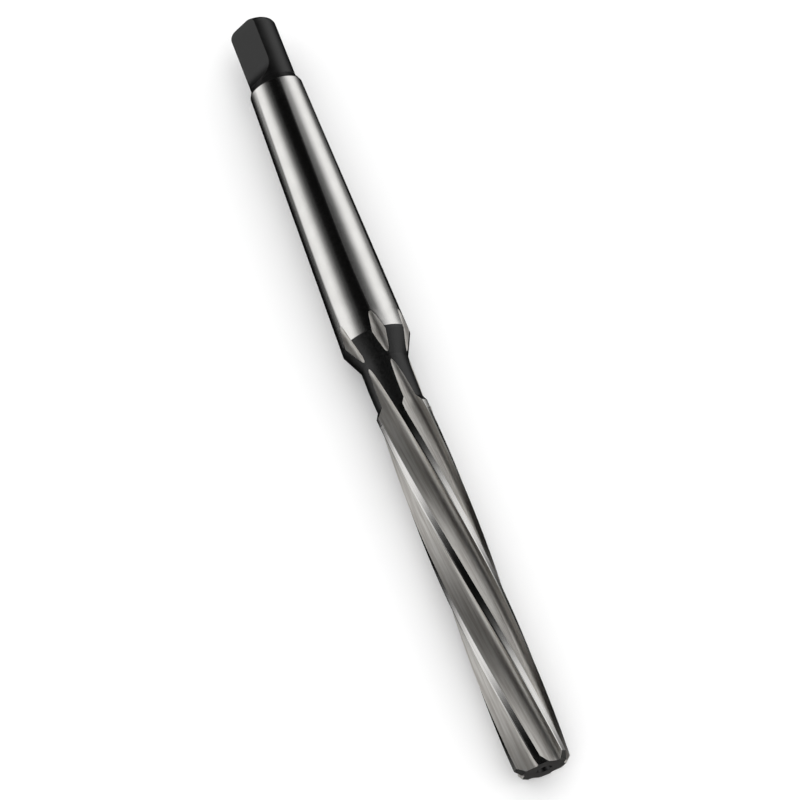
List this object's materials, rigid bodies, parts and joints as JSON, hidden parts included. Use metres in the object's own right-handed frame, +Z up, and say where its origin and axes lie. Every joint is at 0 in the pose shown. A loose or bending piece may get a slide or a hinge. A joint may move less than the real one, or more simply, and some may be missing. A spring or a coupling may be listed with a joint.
{
  "type": "machine reamer",
  "caption": "Long-fluted machine reamer with left-hand spiral teeth, a relieved neck and a self-holding taper shank ending in a flatted tang.",
  "frame": {"origin": "middle of the footprint of the box round the tool, on the flat surface that it lies on", "axes": "+X points from the tang to the nose, +Z is up. The tool lies as it comes to rest, on the two edges of one flute where it cuts the shoulder and on a tooth near the nose, so its own axis runs about 0.8 degrees nose down."},
  "size_m": [0.1456, 0.0122, 0.0121],
  "materials": {
    "tool_steel": "polished taper shank and ground teeth, black oxide on the neck, shoulder and tang"
  },
  "bodies": {
    "root": {"reamer": "tool_steel"}
  },
  "joints": []
}
